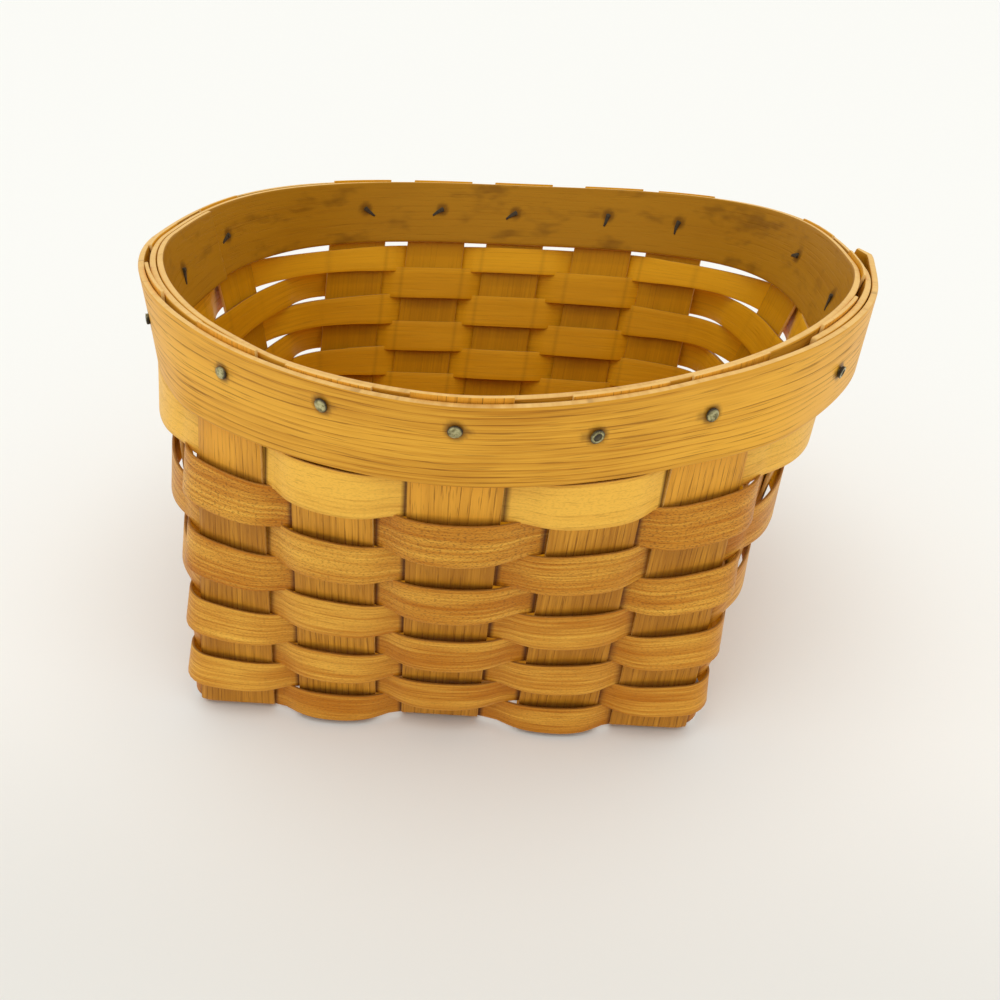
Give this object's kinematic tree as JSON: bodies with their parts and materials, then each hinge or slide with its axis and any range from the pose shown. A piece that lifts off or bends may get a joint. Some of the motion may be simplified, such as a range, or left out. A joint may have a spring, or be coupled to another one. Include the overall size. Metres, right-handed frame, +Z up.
{
  "type": "splint basket",
  "caption": "Open oval splint basket on a rectangular woven base, with flared plain-woven walls and a rim of two bent wooden bands tacked through the stakes.",
  "frame": {"origin": "on the ground under the middle of the outer box", "axes": "+X to the right along the rim's length, +Y to the back, +Z up"},
  "size_m": [0.2396, 0.224, 0.1362],
  "materials": {
    "stake_splint": "varnished split ash, satin",
    "weaver_splint": "varnished split ash, satin",
    "rim_band": "varnished bent ash, satin",
    "tack": "tarnished, bronze-grey"
  },
  "bodies": {
    "root": {"cross_stake_1": "stake_splint", "cross_stake_2": "stake_splint", "cross_stake_3": "stake_splint", "cross_stake_4": "stake_splint", "cross_stake_5": "stake_splint", "long_stake_1": "stake_splint", "long_stake_2": "stake_splint", "long_stake_3": "stake_splint", "weaver_row_1": "weaver_splint", "weaver_row_2": "weaver_splint", "weaver_row_3": "weaver_splint", "weaver_row_4": "weaver_splint", "weaver_row_5": "weaver_splint", "weaver_row_6": "weaver_splint", "weaver_row_7": "weaver_splint", "weaver_row_8": "weaver_splint", "weaver_row_9": "weaver_splint", "outer_rim_band": "rim_band", "inner_rim_band": "rim_band", "rim_tack_01": "tack", "rim_tack_02": "tack", "rim_tack_03": "tack", "rim_tack_04": "tack", "rim_tack_05": "tack", "rim_tack_06": "tack", "rim_tack_07": "tack", "rim_tack_08": "tack", "rim_tack_09": "tack", "rim_tack_10": "tack", "rim_tack_11": "tack", "rim_tack_12": "tack", "rim_tack_13": "tack", "rim_tack_14": "tack", "rim_tack_15": "tack", "rim_tack_16": "tack"}
  },
  "joints": []
}
